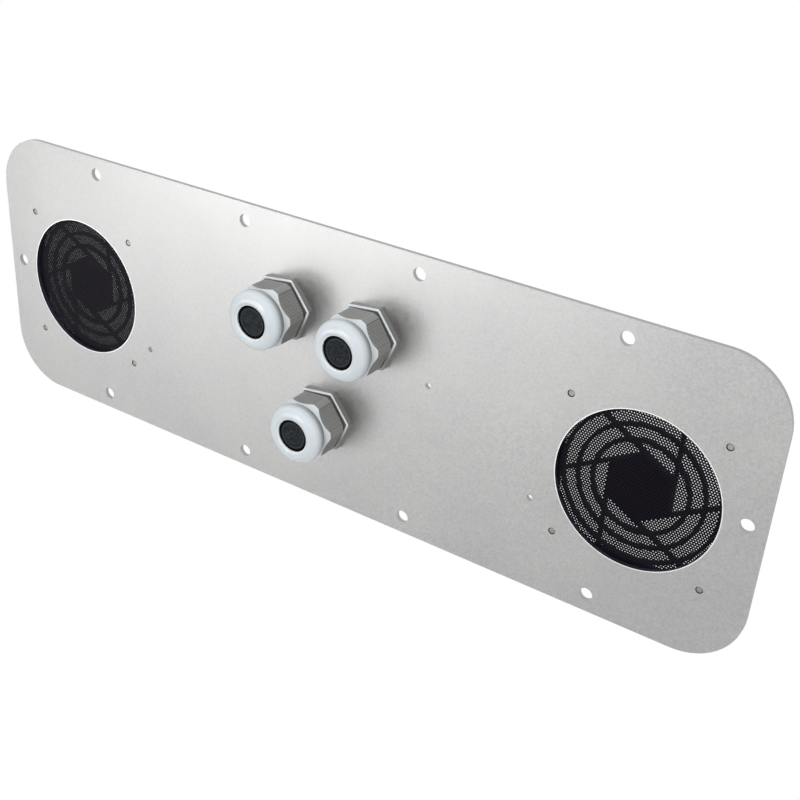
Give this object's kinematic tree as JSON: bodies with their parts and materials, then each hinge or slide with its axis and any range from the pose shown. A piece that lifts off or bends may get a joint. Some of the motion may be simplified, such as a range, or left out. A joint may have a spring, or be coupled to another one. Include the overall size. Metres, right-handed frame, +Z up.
{
  "type": "vented access panel",
  "caption": "Flat metal cover panel with rounded corners, screened round air vents at both ends and domed cable glands in the middle.",
  "frame": {"origin": "centre of the sheet's back face, midway between the corner bolt holes", "axes": "+X along the panel, +Z up, front facing -Y"},
  "size_m": [0.45, 0.0377, 0.1484],
  "materials": {
    "sheet": "fine matt grain",
    "screen": "satin black",
    "guard": "moulded black",
    "screw": "zinc plated",
    "gland": "light grey nylon",
    "seal": "black rubber",
    "disc": "dark matt plastic"
  },
  "bodies": {
    "panel": {"panel_plate": "sheet", "left_vent_screen": "screen", "left_vent_guard": "guard", "left_guard_screws": "screw", "right_vent_screen": "screen", "right_vent_guard": "guard", "right_guard_screws": "screw", "upper_left_gland_body": "gland", "upper_left_lock_nut": "gland", "upper_left_flat_seal": "seal", "upper_right_gland_body": "gland", "upper_right_lock_nut": "gland", "upper_right_flat_seal": "seal", "lower_gland_body": "gland", "lower_lock_nut": "gland", "lower_flat_seal": "seal"},
    "upper_left_seal_and_disc": {"upper_left_gland_seal": "seal", "upper_left_dust_disc": "disc"},
    "upper_left_cap": {"upper_left_gland_cap": "gland"},
    "upper_right_seal_and_disc": {"upper_right_gland_seal": "seal", "upper_right_dust_disc": "disc"},
    "upper_right_cap": {"upper_right_gland_cap": "gland"},
    "lower_seal_and_disc": {"lower_gland_seal": "seal", "lower_dust_disc": "disc"},
    "lower_cap": {"lower_gland_cap": "gland"}
  },
  "joints": [
    {"name": "upper_left_seal_slide", "type": "slide", "parent": "panel", "child": "upper_left_seal_and_disc", "axis": [0, -1, 0], "range_m": [-0.0015, 0.0045]},
    {"name": "upper_left_cap_turn", "type": "hinge", "parent": "upper_left_seal_and_disc", "child": "upper_left_cap", "pos_m": [-0.0255, -0.0023, 0.0272], "axis": [0, -1, 0], "range_deg": [-360, 1080]},
    {"name": "upper_right_seal_slide", "type": "slide", "parent": "panel", "child": "upper_right_seal_and_disc", "axis": [0, -1, 0], "range_m": [-0.0015, 0.0045]},
    {"name": "upper_right_cap_turn", "type": "hinge", "parent": "upper_right_seal_and_disc", "child": "upper_right_cap", "pos_m": [0.0255, -0.0023, 0.0272], "axis": [0, -1, 0], "range_deg": [-360, 1080]},
    {"name": "lower_seal_slide", "type": "slide", "parent": "panel", "child": "lower_seal_and_disc", "axis": [0, -1, 0], "range_m": [-0.0015, 0.0045]},
    {"name": "lower_cap_turn", "type": "hinge", "parent": "lower_seal_and_disc", "child": "lower_cap", "pos_m": [0.0005, -0.0023, -0.0258], "axis": [0, -1, 0], "range_deg": [-360, 1080]}
  ],
  "couplings": [
    {"joint": "upper_left_seal_slide", "follows": "upper_left_cap_turn", "m_per_rad": 0.00023873},
    {"joint": "upper_right_seal_slide", "follows": "upper_right_cap_turn", "m_per_rad": 0.00023873},
    {"joint": "lower_seal_slide", "follows": "lower_cap_turn", "m_per_rad": 0.00023873}
  ]
}
